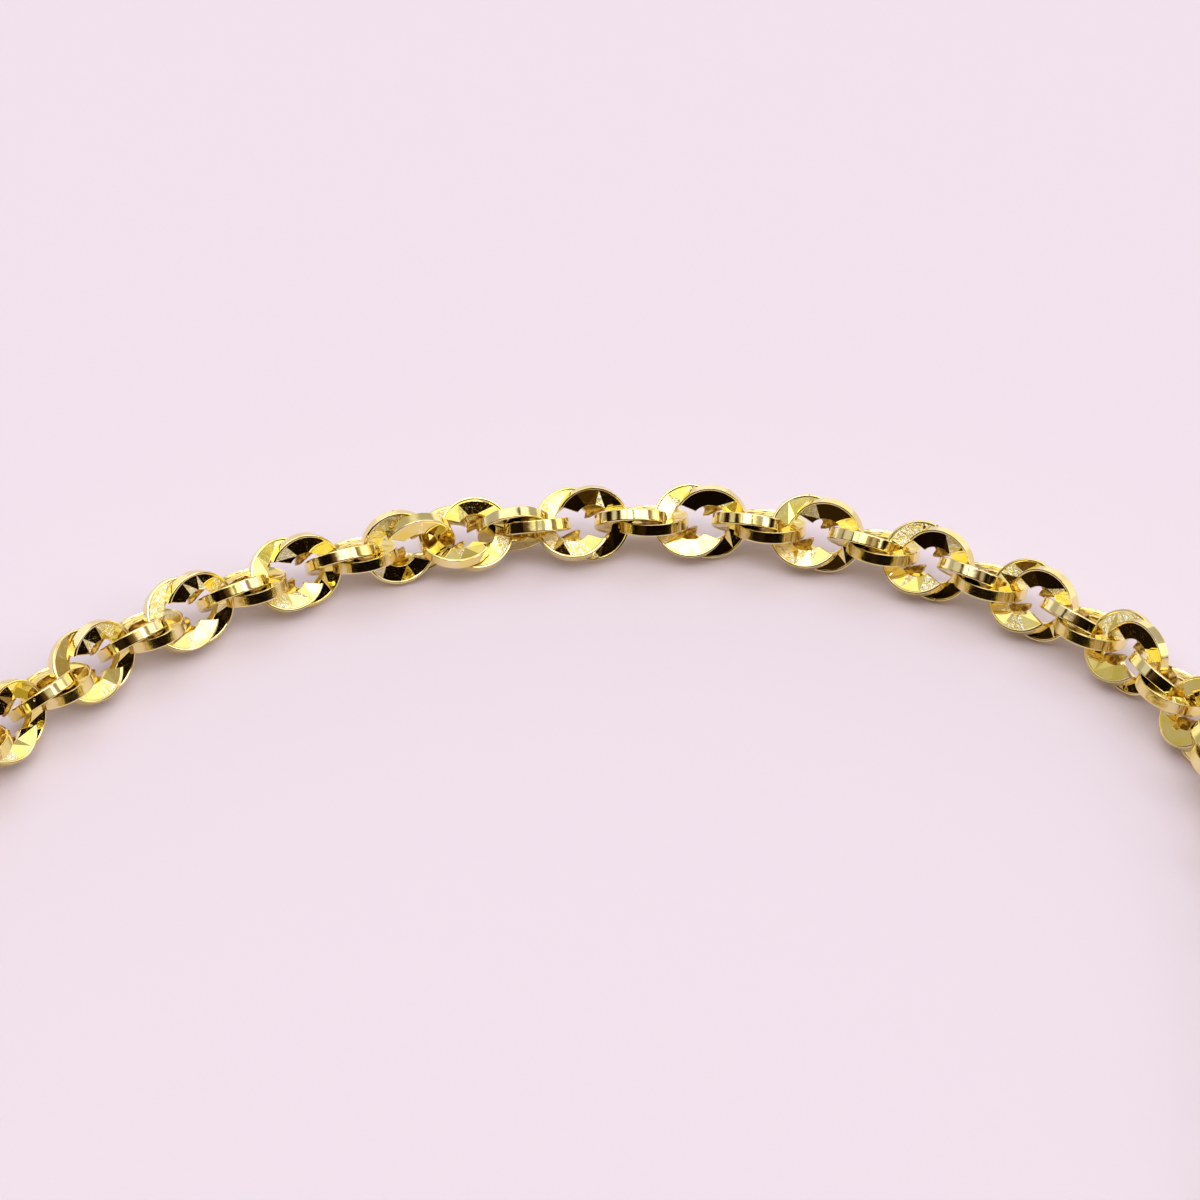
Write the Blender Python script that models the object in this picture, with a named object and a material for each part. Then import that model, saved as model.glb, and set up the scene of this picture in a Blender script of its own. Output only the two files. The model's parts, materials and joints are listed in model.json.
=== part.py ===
"""Twisted link bracelet: crossed open rings joined as links, a plain clasp and two jump rings.

The object lies on its side of rest as a whole closed loop. Units are metres, +Z is up, and the
floor is the plane z = 0. Every link is two flat open rings that cross each other, soldered as one.
"""
import math

import bmesh
import bpy
import numpy as np
from mathutils import Matrix, Vector

MM = 0.001

# Link sizes
PITCH = 2.36 * MM
RING_OUTER_R = 1.53 * MM
RING_INNER_R = 0.76 * MM
RING_THICK = 0.50 * MM
RING_SPREAD = 0.80 * MM
RING_TILT = math.radians(13.5)
RING_STEPS = 9
MOUTH_INNER = math.radians(41.8)
MOUTH_OUTER = math.radians(30.7)

# Chain sizes
FAR_LINKS = 35
NEAR_LINKS = 35
FIRST_LINK = -2
NODE_SLACK = 0.17 * MM
AXIS_HEIGHT = 1.512 * MM
TWIST_RAISE = 0.04 * MM
LEAN = math.radians(34.0)
TWIST_MIDDLE = 9.5
TWIST_REACH = 3.5
TWIST = ((7, 0.0), (8, -28.0), (9, -57.0), (10, -70.0), (11, -80.0), (12, -87.0), (13, -90.0))

# Clasp and jump ring sizes
JUMP_R = 1.50 * MM
JUMP_WIRE = 0.50 * MM
JUMP_LEAN = math.radians(50.0)
JUMP_HEIGHT = 1.42 * MM
LINK_GAP = 0.15 * MM
CLASP_GAP = 0.40 * MM
CLASP_LENGTH = 10.2 * MM
CLASP_WIDTH = 4.6 * MM
CLASP_THICK = 2.4 * MM
CLASP_EYE_R = 1.50 * MM
CLASP_EYE_HOLE_R = 0.90 * MM
CLASP_BAR = 0.95 * MM
CLASP_END_THICK = 0.80 * MM
CLASP_EDGE = 0.45 * MM
CLASP_EYE_RELIEF = 3.0 * MM
CLASP_HOOK_RELIEF = 2.6 * MM
JUMP_STEPS = 16
WIRE_STEPS = 6

# Route of the chain seen from above, in route units: a few chosen points, in order from the
# first link. The near side closes the loop along half an oval whose depth is searched.
ROUTE_UNIT = 1.0 * MM
ROUTE = [
    (-25.91, -12.27), (-23.47, -8.23), (-20.50, -4.56), (-17.07, -1.33), (-13.11, 1.23), (-8.77, 3.07),
    (-4.21, 4.26), (0.47, 4.87), (5.19, 4.87), (9.78, 3.83), (14.08, 1.90), (18.04, -0.67),
    (21.34, -4.03), (23.48, -8.22), (24.63, -12.92),
]
NEAR_CENTRE = (-1.3, -25.0)
NEAR_HALF_WIDTH = 26.9
NEAR_STEPS = 10
NEAR_DEPTHS = (15.0, 45.0)


def collection(name):
    """Return a new collection linked to the scene."""
    made = bpy.data.collections.new(name)
    bpy.context.scene.collection.children.link(made)
    return made


def material(name, colour, roughness):
    """Return a metal material."""
    made = bpy.data.materials.new(name)
    made.use_nodes = True
    shader = made.node_tree.nodes["Principled BSDF"]
    shader.inputs["Base Color"].default_value = (*colour, 1.0)
    shader.inputs["Metallic"].default_value = 1.0
    shader.inputs["Roughness"].default_value = roughness
    return made


def mesh_object(name, bm, home):
    """Make an object of a bmesh in the given collection."""
    bmesh.ops.recalc_face_normals(bm, faces=bm.faces)
    mesh = bpy.data.meshes.new(name)
    bm.to_mesh(mesh)
    bm.free()
    made = bpy.data.objects.new(name, mesh)
    home.objects.link(made)
    return made


def boolean(target, operand, operation):
    """Apply one Boolean to the target and remove the operand."""
    modifier = target.modifiers.new("cut", "BOOLEAN")
    modifier.operation = operation
    modifier.object = operand
    bpy.context.view_layer.update()
    graph = bpy.context.evaluated_depsgraph_get()
    mesh = bpy.data.meshes.new_from_object(target.evaluated_get(graph))
    target.modifiers.clear()
    old = target.data
    target.data = mesh
    bpy.data.meshes.remove(old)
    bpy.data.objects.remove(operand)


def tidy(target, angle):
    """Merge coincident points and dissolve the flat faces that a Boolean splits."""
    bm = bmesh.new()
    bm.from_mesh(target.data)
    bmesh.ops.remove_doubles(bm, verts=bm.verts, dist=1e-6)
    bmesh.ops.dissolve_limit(
        bm, angle_limit=math.radians(angle), verts=bm.verts, edges=bm.edges
    )
    bmesh.ops.triangulate(bm, faces=bm.faces)
    bm.to_mesh(target.data)
    bm.free()


def open_ring():
    """Return a flat open ring in the XY plane, its mouth towards +X, as a bmesh.

    The ring is a band of four-sided section carried round the centre. The first and the last
    section lean, so that the cut ends run nearly along X.
    """
    bm = bmesh.new()
    rows = []
    for step in range(RING_STEPS + 1):
        share = step / RING_STEPS
        inner = MOUTH_INNER + share * (2 * math.pi - 2 * MOUTH_INNER)
        outer = MOUTH_OUTER + share * (2 * math.pi - 2 * MOUTH_OUTER)
        row = []
        for radius, angle, side in (
            (RING_OUTER_R, outer, 1),
            (RING_OUTER_R, outer, -1),
            (RING_INNER_R, inner, -1),
            (RING_INNER_R, inner, 1),
        ):
            x = radius * math.cos(angle)
            y = radius * math.sin(angle)
            row.append(bm.verts.new((x, y, side * RING_THICK / 2)))
        rows.append(row)
    for a, b in zip(rows, rows[1:]):
        for corner in range(4):
            turn = (corner + 1) % 4
            bm.faces.new((a[corner], a[turn], b[turn], b[corner]))
    bm.faces.new(rows[0])
    bm.faces.new(rows[-1])
    return bm


def link_mesh(home):
    """Return one link about its own centre: X along the chain, Z the link's normal."""
    left = open_ring()
    left.transform(Matrix.Translation((-RING_SPREAD / 2, 0, 0)) @ Matrix.Rotation(-RING_TILT, 4, "X"))
    right = open_ring()
    right.transform(
        Matrix.Translation((RING_SPREAD / 2, 0, 0))
        @ Matrix.Rotation(RING_TILT, 4, "X")
        @ Matrix.Rotation(math.pi, 4, "Z")
    )
    link = mesh_object("link", left, home)
    boolean(link, mesh_object("link right", right, home), "UNION")
    return link


def smooth_loop(points, per_span=60):
    """Return many points of a closed smooth curve through the given points."""
    pts = np.array(points)
    count = len(pts)
    span = np.linalg.norm(np.roll(pts, -1, axis=0) - pts, axis=1)
    slope = np.zeros_like(pts)
    for i in range(count):
        before = span[i - 1]
        after = span[i]
        left = (pts[i] - pts[i - 1]) / before
        right = (pts[(i + 1) % count] - pts[i]) / after
        slope[i] = (left * after + right * before) / (before + after)
    made = []
    for i in range(count):
        j = (i + 1) % count
        for t in np.linspace(0, 1, per_span, endpoint=False):
            a = 2 * t**3 - 3 * t**2 + 1
            b = t**3 - 2 * t**2 + t
            c = -2 * t**3 + 3 * t**2
            d = t**3 - t**2
            made.append(a * pts[i] + b * span[i] * slope[i] + c * pts[j] + d * span[i] * slope[j])
    return np.array(made)


def near_side(depth):
    """Return the points of the near side, half an oval of the given depth."""
    made = []
    for step in range(NEAR_STEPS + 1):
        angle = math.pi * step / NEAR_STEPS
        x = NEAR_CENTRE[0] + NEAR_HALF_WIDTH * math.cos(angle)
        y = NEAR_CENTRE[1] - depth * math.sin(angle)
        made.append((x, y))
    return made


def walk(curve, start, step, count):
    """Step along a closed curve by straight steps and return the points met.

    Args:
        curve: points of the closed curve, close together.
        start: place on the curve as a float index.
        step: straight distance between neighbours.
        count: number of steps.

    Returns:
        The list of count + 1 points and the last place as a float index.
    """
    total = len(curve)

    def at(place):
        low = int(math.floor(place))
        share = place - low
        return curve[low % total] * (1 - share) + curve[(low + 1) % total] * share

    here = start
    points = [at(here)]
    for _ in range(count):
        ahead = here
        while np.linalg.norm(at(ahead) - points[-1]) < step:
            ahead += 0.25
        low, high = ahead - 0.25, ahead
        for _ in range(30):
            middle = (low + high) / 2
            if np.linalg.norm(at(middle) - points[-1]) < step:
                low = middle
            else:
                high = middle
        here = high
        points.append(at(here))
    return points, here


# Clasp section along its own line: places of its pieces from the last far link's joint
REACH = PITCH / 2 - (RING_SPREAD / 2 + RING_INNER_R)
JUMP_IN = JUMP_R - JUMP_WIRE / 2
FIRST_JUMP = -LINK_GAP - REACH - JUMP_WIRE / 2 + JUMP_R
CLASP_START = FIRST_JUMP + JUMP_IN - CLASP_GAP - (CLASP_EYE_R - CLASP_EYE_HOLE_R)
CLASP_END = CLASP_START + CLASP_LENGTH
LAST_JUMP = CLASP_END - CLASP_BAR - CLASP_GAP - JUMP_WIRE / 2 + JUMP_R
SECTION = LAST_JUMP + FIRST_JUMP


def lay_out():
    """Return the joints of both chain halves and the clasp's line.

    The far half starts at the first route point. The near side's depth is searched, so that the
    links and the clasp's straight section exactly fill the loop.
    """
    low, high = NEAR_DEPTHS
    for _ in range(40):
        depth = (low + high) / 2
        curve = smooth_loop(ROUTE + near_side(depth)) * ROUTE_UNIT
        far, here = walk(curve, 0.0, PITCH, FAR_LINKS)
        _, place = walk(curve, here, SECTION, 1)
        near, end = walk(curve, place, PITCH, NEAR_LINKS)
        over = end - len(curve)
        slack = np.linalg.norm(near[-1] - far[0]) * math.copysign(1, over)
        if slack > NODE_SLACK:
            low = depth
        else:
            high = depth
    return far, near


def roll_of(index):
    """Return the turn of a link about the chain, in radians, by its place in the loop."""
    extra = TWIST[0][1] if index < TWIST[0][0] else TWIST[-1][1]
    for place, value in TWIST:
        if place == index:
            extra = value
    return math.radians(90.0 * (index - 6) + extra)


def frame_at(a, b, roll):
    """Return the matrix of a link from joint a to joint b with a roll about its length."""
    along = (b - a).normalized()
    side = Vector((0, 0, 1)).cross(along).normalized()
    up = along.cross(side)
    normal = side * -math.cos(roll) * math.cos(LEAN) + up * math.sin(LEAN) * math.cos(roll)
    other = side * math.sin(roll) * math.sin(LEAN) + up * math.cos(LEAN) * math.sin(roll)
    z = (normal + other).normalized()
    y = z.cross(along)
    made = Matrix((along, y, z)).transposed().to_4x4()
    made.translation = (a + b) / 2
    return made


def joint_height(index):
    """Return the chain's height over the floor, a little more where the links are turned."""
    near = max(0.0, 1 - abs(index - TWIST_MIDDLE) / TWIST_REACH)
    return AXIS_HEIGHT + TWIST_RAISE * math.sin(near * math.pi / 2) ** 2


def chain(name, joints, first, turn_back, link, home, look):
    """Make one half of the chain as one body.

    Args:
        name: name of the object.
        joints: points seen from above where the links meet.
        first: index of the first link.
        turn_back: extra roll in radians given to the first links so that the halves meet crosswise.
        link: the link object that is copied.
        home: collection.
        look: material.
    """
    halves = [bmesh.new(), bmesh.new()]
    for i, (a, b) in enumerate(zip(joints, joints[1:])):
        low = Vector((a[0], a[1], joint_height(first + i - 0.5)))
        high = Vector((b[0], b[1], joint_height(first + i + 0.5)))
        matrix = frame_at(low, high, roll_of(first + i) + turn_back)
        part = bmesh.new()
        part.from_mesh(link.data)
        part.transform(matrix)
        loose = bpy.data.meshes.new("loose")
        part.to_mesh(loose)
        part.free()
        halves[i % 2].from_mesh(loose)
        bpy.data.meshes.remove(loose)
    made = mesh_object(name, halves[0], home)
    boolean(made, mesh_object("odd links", halves[1], home), "UNION")
    tidy(made, 0.5)
    made.data.materials.append(look)
    return made


def jump_ring(name, place, along, home, look, lean):
    """Make a closed round ring that leans over the floor."""
    side = Vector((0, 0, 1)).cross(along).normalized()
    up = along.cross(side)
    tilt = side * math.cos(lean) + up * math.sin(lean)
    normal = along.cross(tilt)
    matrix = Matrix((along, tilt, normal)).transposed().to_4x4()
    matrix.translation = place
    bpy.ops.mesh.primitive_torus_add(
        major_segments=JUMP_STEPS, minor_segments=WIRE_STEPS, major_radius=JUMP_R, minor_radius=JUMP_WIRE / 2
    )
    made = bpy.context.object
    made.name = name
    for old in list(made.users_collection):
        old.objects.unlink(made)
    home.objects.link(made)
    made.data.transform(matrix)
    made.data.materials.append(look)
    return made


# Clasp outline as shares of its length and half width: place, outer half width above the line,
# outer half width below it
CLASP_OUTLINE = (
    (0.000, 0.00, 0.00), (0.025, 0.34, -0.34), (0.08, 0.58, -0.58), (0.15, 0.67, -0.67), (0.23, 0.60, -0.60),
    (0.30, 0.50, -0.52), (0.42, 0.70, -0.66), (0.55, 0.92, -0.84), (0.70, 1.00, -0.96), (0.84, 0.92, -0.90),
    (0.94, 0.62, -0.62), (0.985, 0.28, -0.28), (1.000, 0.00, 0.00),
)
# Clasp window as shares of its length and half width, the same three numbers
CLASP_WINDOW = (
    (0.425, 0.03, -0.03), (0.46, 0.22, -0.20), (0.56, 0.42, -0.38), (0.70, 0.56, -0.50), (0.81, 0.52, -0.48),
    (0.87, 0.38, -0.36), (1.0 - CLASP_BAR / CLASP_LENGTH, 0.10, -0.10),
)


def outline_prism(name, rows, thick, home, bevel):
    """Make a flat slab from an outline given as shares, its edges bevelled."""
    bm = bmesh.new()
    upper = [(x, a) for x, a, _ in rows]
    lower = [(x, b) for x, _, b in reversed(rows) if b != 0.0]
    verts = [
        bm.verts.new((x * CLASP_LENGTH, y * CLASP_WIDTH / 2, -thick / 2)) for x, y in upper + lower
    ]
    face = bm.faces.new(verts)
    raised = bmesh.ops.extrude_face_region(bm, geom=[face])
    top = [item for item in raised["geom"] if isinstance(item, bmesh.types.BMVert)]
    bmesh.ops.translate(bm, verts=top, vec=(0, 0, thick))
    if bevel:
        rim = [
            edge
            for edge in bm.edges
            if abs(edge.verts[0].co.z - edge.verts[1].co.z) < 1e-9
        ]
        bmesh.ops.bevel(bm, geom=rim, offset=bevel, segments=2, affect="EDGES", profile=0.5)
    return mesh_object(name, bm, home)


def clasp(start, along, home, cutters, look):
    """Make the plain clasp as one solid, its underside flat on the floor."""
    made = outline_prism("clasp", CLASP_OUTLINE, CLASP_THICK, home, CLASP_EDGE)
    window = outline_prism("clasp window", CLASP_WINDOW, CLASP_THICK * 2, cutters, 0.0)
    boolean(made, window, "DIFFERENCE")
    bpy.ops.mesh.primitive_cylinder_add(
        vertices=JUMP_STEPS, radius=CLASP_EYE_HOLE_R, depth=CLASP_THICK * 2, location=(CLASP_EYE_R, 0, 0)
    )
    boolean(made, bpy.context.object, "DIFFERENCE")
    for middle, reach in ((0.0, CLASP_EYE_RELIEF), (CLASP_LENGTH, CLASP_HOOK_RELIEF)):
        for side in (1, -1):
            bpy.ops.mesh.primitive_cube_add(size=1, location=(middle, 0, side * CLASP_THICK / 2))
            relief = bpy.context.object
            relief.scale = (2 * reach, CLASP_WIDTH * 2, CLASP_THICK - CLASP_END_THICK)
            bpy.context.view_layer.update()
            boolean(made, relief, "DIFFERENCE")
    tidy(made, 0.5)
    side = Vector((0, 0, 1)).cross(along).normalized()
    matrix = Matrix((along, side, Vector((0, 0, 1)))).transposed().to_4x4()
    matrix.translation = Vector((start.x, start.y, CLASP_THICK / 2))
    made.data.transform(matrix)
    made.data.materials.append(look)
    return made


def main():
    """Build the whole object."""
    for old in list(bpy.data.objects):
        bpy.data.objects.remove(old)
    home = collection("twisted_link_bracelet")
    cutters = collection("cutters")
    gold = material("polished gold", (0.86, 0.62, 0.30), 0.16)
    wire = material("gold wire", (0.84, 0.60, 0.29), 0.2)
    cast = material("gold clasp", (0.87, 0.64, 0.32), 0.22)

    far, near = lay_out()
    link = link_mesh(cutters)
    chain("chain_far", far, FIRST_LINK, 0.0, link, home, gold)
    chain("chain_near", near, FIRST_LINK + FAR_LINKS, math.radians(-90.0), link, home, gold)
    bpy.data.objects.remove(link)

    a = Vector((far[-1][0], far[-1][1], 0))
    b = Vector((near[0][0], near[0][1], 0))
    along = (b - a).normalized()
    clasp(a + along * CLASP_START, along, home, cutters, cast)
    first = a + along * FIRST_JUMP
    first.z = JUMP_HEIGHT
    last = a + along * LAST_JUMP
    last.z = JUMP_HEIGHT
    jump_ring("clasp_ring", first, along, home, wire, JUMP_LEAN)
    jump_ring("end_ring", last, along, home, wire, JUMP_LEAN)
    corners = np.array([v.co for piece in home.objects for v in piece.data.vertices])
    middle = (corners.min(axis=0) + corners.max(axis=0)) / 2
    for piece in home.objects:
        piece.data.transform(Matrix.Translation((-middle[0], -middle[1], 0)))
        for face in piece.data.polygons:
            face.use_smooth = "ring" in piece.name


main()
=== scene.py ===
"""Twisted link bracelet in yellow gold: looks for the CAD frame, with floor, light and camera."""
import json
import logging
import math
import random
from dataclasses import dataclass, field
from enum import Enum

import bmesh
import bpy
import numpy as np
from mathutils import Matrix, Vector

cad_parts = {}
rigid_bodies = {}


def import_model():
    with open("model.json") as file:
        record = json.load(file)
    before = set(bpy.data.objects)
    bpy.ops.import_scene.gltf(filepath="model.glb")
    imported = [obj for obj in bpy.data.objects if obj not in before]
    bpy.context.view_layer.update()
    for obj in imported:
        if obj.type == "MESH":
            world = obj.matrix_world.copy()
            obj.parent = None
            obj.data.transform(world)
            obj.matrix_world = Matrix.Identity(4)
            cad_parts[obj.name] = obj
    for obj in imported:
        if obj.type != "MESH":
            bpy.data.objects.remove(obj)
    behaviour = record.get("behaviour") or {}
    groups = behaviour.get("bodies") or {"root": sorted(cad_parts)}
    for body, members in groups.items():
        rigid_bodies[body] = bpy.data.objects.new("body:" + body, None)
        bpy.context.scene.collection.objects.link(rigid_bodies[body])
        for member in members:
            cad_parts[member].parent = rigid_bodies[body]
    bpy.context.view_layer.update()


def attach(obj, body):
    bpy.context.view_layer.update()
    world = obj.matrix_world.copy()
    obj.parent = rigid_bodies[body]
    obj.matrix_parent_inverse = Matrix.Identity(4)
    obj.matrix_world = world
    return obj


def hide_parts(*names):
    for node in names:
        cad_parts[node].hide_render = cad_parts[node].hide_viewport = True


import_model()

LOG = logging.getLogger("bracelet")

MM = 0.001
FULL_TURN = 2 * math.pi
UP = Vector((0, 0, 1))

# The photo's width in pixels and the camera's sensor width in millimetres.
PHOTO_WIDTH = 1200.0
SENSOR_WIDTH = 36.0

# Width of a light zone's soft edge, in degrees.
ZONE_EDGE = 5.0

# Every fourth link lies the same way up, because each stands crosswise to its neighbours.
LINK_CYCLE = 4

# The Mix node's sockets for each data type: its two inputs and its result.
MIX_SOCKETS = {"FLOAT": (2, 3, 0), "RGBA": (6, 7, 2)}

Term = "Value | bpy.types.NodeSocket | float"


class Zone(Enum):
    """Kinds of surface on a link, each with a material of its own."""

    RIM = 0
    FACET = 1
    BURR = 2


class Value:
    """A shader number: wraps a socket and does its sums with Math nodes."""

    def __init__(self, graph: "Graph", socket: bpy.types.NodeSocket) -> None:
        """Keep the node tree and the socket."""
        self.graph = graph
        self.socket = socket

    def __add__(self, other: Term) -> "Value":
        """Return the sum."""
        return self.graph.math("ADD", self, other)

    __radd__ = __add__

    def __sub__(self, other: Term) -> "Value":
        """Return this value less the other."""
        return self.graph.math("SUBTRACT", self, other)

    def __rsub__(self, other: Term) -> "Value":
        """Return the other value less this one."""
        return self.graph.math("SUBTRACT", other, self)

    def __mul__(self, other: Term) -> "Value":
        """Return the product."""
        return self.graph.math("MULTIPLY", self, other)

    __rmul__ = __mul__

    def __gt__(self, other: Term) -> "Value":
        """Return 1 where this value is the greater one, and 0 elsewhere."""
        return self.graph.math("GREATER_THAN", self, other)

    def ramp(self, low: float, high: float) -> "Value":
        """Return 0 under low, 1 over high and a smooth rise between them."""
        node = self.graph.node(
            "ShaderNodeMapRange",
            {"interpolation_type": "SMOOTHSTEP"},
            {"Value": self, "From Min": low, "From Max": high},
        )
        return Value(self.graph, node.outputs["Result"])


@dataclass
class Graph:
    """A node tree that is written to by short calls."""

    tree: bpy.types.NodeTree

    def node(self, kind: str, settings: dict | None = None, inputs: dict | None = None) -> bpy.types.Node:
        """Add a node.

        Args:
            kind: the node's type name.
            settings: attributes to set on it.
            inputs: socket name or index to a number, a colour, a socket or a Value.

        Returns:
            The node.
        """
        made = self.tree.nodes.new(kind)
        for name, value in (settings or {}).items():
            setattr(made, name, value)
        for name, value in (inputs or {}).items():
            self.plug(made.inputs[name], value)
        return made

    def plug(self, socket: bpy.types.NodeSocket, value: object) -> None:
        """Link a socket or a Value to an input, or set the input to a plain value."""
        if isinstance(value, Value):
            value = value.socket
        if isinstance(value, bpy.types.NodeSocket):
            self.tree.links.new(value, socket)
        else:
            socket.default_value = value

    def math(self, operation: str, *terms: Term) -> Value:
        """Return the result of a Math node."""
        node = self.node("ShaderNodeMath", {"operation": operation}, dict(enumerate(terms)))
        return Value(self, node.outputs[0])

    def vector(self, operation: str, *terms: bpy.types.NodeSocket | tuple) -> bpy.types.NodeSocket:
        """Return the result of a Vector Math node."""
        node = self.node("ShaderNodeVectorMath", {"operation": operation}, dict(enumerate(terms)))
        return node.outputs["Vector"]

    def split(self, vector: bpy.types.NodeSocket) -> list[Value]:
        """Return a vector's three parts."""
        node = self.node("ShaderNodeSeparateXYZ", None, {0: vector})
        return [Value(self, output) for output in node.outputs]

    def mix(self, factor: Term, first: object, second: object, kind: str = "RGBA") -> bpy.types.NodeSocket:
        """Return a colour between two colours, or a number between two with the kind FLOAT."""
        a, b, out = MIX_SOCKETS[kind]
        node = self.node("ShaderNodeMix", {"data_type": kind}, {0: factor, a: first, b: second})
        return node.outputs[out]

    def coords(self) -> bpy.types.NodeSocket:
        """Return the object coordinates."""
        return self.node("ShaderNodeTexCoord").outputs["Object"]

    def attribute(self, name: str) -> Value:
        """Return a mesh attribute's value."""
        return Value(self, self.node("ShaderNodeAttribute", {"attribute_name": name}).outputs["Fac"])


@dataclass(frozen=True)
class Noise:
    """A noise: lumps in a metre, levels of finer lumps, their strength, and the scales by axis."""

    scale: float
    detail: float
    rough: float
    stretch: tuple | None = None

    def lay(self, graph: Graph) -> Value:
        """Return the noise's value in object space."""
        place = graph.coords()
        if self.stretch:
            place = graph.vector("MULTIPLY", place, self.stretch)
        inputs = {"Vector": place, "Scale": self.scale, "Detail": self.detail, "Roughness": self.rough}
        return Value(graph, graph.node("ShaderNodeTexNoise", None, inputs).outputs["Fac"])


@dataclass(frozen=True)
class Spots:
    """Sparse round spots: cells in a metre, share with a spot, its size in cells, its flat core."""

    scale: float
    share: float
    size: float
    core: float

    def lay(self, graph: Graph) -> Value:
        """Return 1 in the middle of a spot and 0 outside the spots."""
        inputs = {"Vector": graph.coords(), "Scale": self.scale}
        cells = graph.node("ShaderNodeTexVoronoi", None, inputs)
        pick = graph.node("ShaderNodeSeparateColor", None, {"Color": cells.outputs["Color"]})
        chosen = Value(graph, pick.outputs[0]) > (1.0 - self.share)
        near = 1.0 - Value(graph, cells.outputs["Distance"]).ramp(self.size * self.core, self.size)
        return near * chosen


CLOUDS = Noise(900.0, 3.0, 0.6)
WAVES = Noise(2600.0, 2.0, 0.5)
SMEARS = Noise(5200.0, 3.0, 0.6)
TEETH = Noise(14000.0, 6.0, 0.75)
FROST_GLINT_NOISE = Noise(6200.0, 4.0, 0.68)
SCRATCHES = Noise(1.0, 1.0, 0.5, (52000.0, 3800.0, 52000.0))
# Where each noise turns from nothing to full.
DEEP_RANGE, TORN_RANGE, PAINTED_GLINT_RANGE, LINE_RANGE = (0.35, 0.7), (0.40, 0.62), (0.40, 0.60), (0.70, 0.76)
PIT_SHADE_SPOTS = Spots(2600.0, 0.12, 0.17, 0.4)


@dataclass(frozen=True)
class Gold:
    """A yellow gold finish.

    The numbers from frosted to scratches are strengths of its relief, and relief is the height of
    one unit in metres. Frost lies where its mesh attribute is set: it adds the roughness dull, and
    its high spots get a pale painted glint. The pits are darkened with painted shade. Grain is a
    torn surface of teeth and lumps.
    """

    name: str
    light: tuple = (0.94, 0.78, 0.30)
    deep: tuple = (0.91, 0.72, 0.12)
    roughness: float = 0.06
    frosted: float = 0.0
    grain: float = 0.0
    waves: float = 0.35
    pits: float = 0.0
    scratches: float = 0.0
    smeared: float = 0.8
    lump_share: float = 2.0
    torn: tuple = (0.30, 0.15, 0.03)
    dull: float = 0.14
    # Painted glint: the pale colour painted on the frost's high spots.
    painted_glint: tuple = (0.97, 0.90, 0.68)
    # Painted shade: the dark colour painted into the pits, and how much of it.
    painted_pit_shade: tuple = (0.16, 0.09, 0.03)
    pit_shade_share: float = 0.8
    relief: float = 0.000012

    def build(self) -> bpy.types.Material:
        """Return the material."""
        material = bpy.data.materials.new(self.name)
        material.use_nodes = True
        material.diffuse_color = (*self.light, 1.0)
        graph = Graph(material.node_tree)
        shader = material.node_tree.nodes["Principled BSDF"]
        shader.inputs["Metallic"].default_value = 1.0
        colour = graph.mix(CLOUDS.lay(graph).ramp(*DEEP_RANGE), (*self.light, 1), (*self.deep, 1))
        height = WAVES.lay(graph) * self.waves
        rough = self.roughness + SMEARS.lay(graph) * self.roughness * self.smeared
        if self.grain:
            lumps = SMEARS.lay(graph)
            height = height + (TEETH.lay(graph) + lumps * self.lump_share) * self.grain
            colour = graph.mix(lumps.ramp(*TORN_RANGE), colour, (*self.torn, 1))
        if self.frosted:
            marked = graph.attribute("frost")
            frost = FROST_GLINT_NOISE.lay(graph)
            height = height + frost * marked * self.frosted
            rough = rough + marked * self.dull
            # Painted glint: on frosted facets the noise's high spots are painted pale, standing in for
            # sparkle.
            colour = graph.mix(frost.ramp(*PAINTED_GLINT_RANGE) * marked, colour, (*self.painted_glint, 1))
        if self.scratches:
            height = height - SCRATCHES.lay(graph).ramp(*LINE_RANGE) * self.scratches
        if self.pits:
            pit_and_shade = PIT_SHADE_SPOTS.lay(graph)
            height = height - pit_and_shade * self.pits
            # Painted shade: the pits' hollows are painted dark brown.
            colour = graph.mix(pit_and_shade * self.pit_shade_share, colour, (*self.painted_pit_shade, 1))
        inputs = {"Height": height, "Strength": 1.0, "Distance": self.relief}
        bump = graph.node("ShaderNodeBump", None, inputs)
        graph.plug(shader.inputs["Base Color"], colour)
        graph.plug(shader.inputs["Roughness"], rough)
        graph.plug(shader.inputs["Normal"], bump.outputs["Normal"])
        return material


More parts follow.
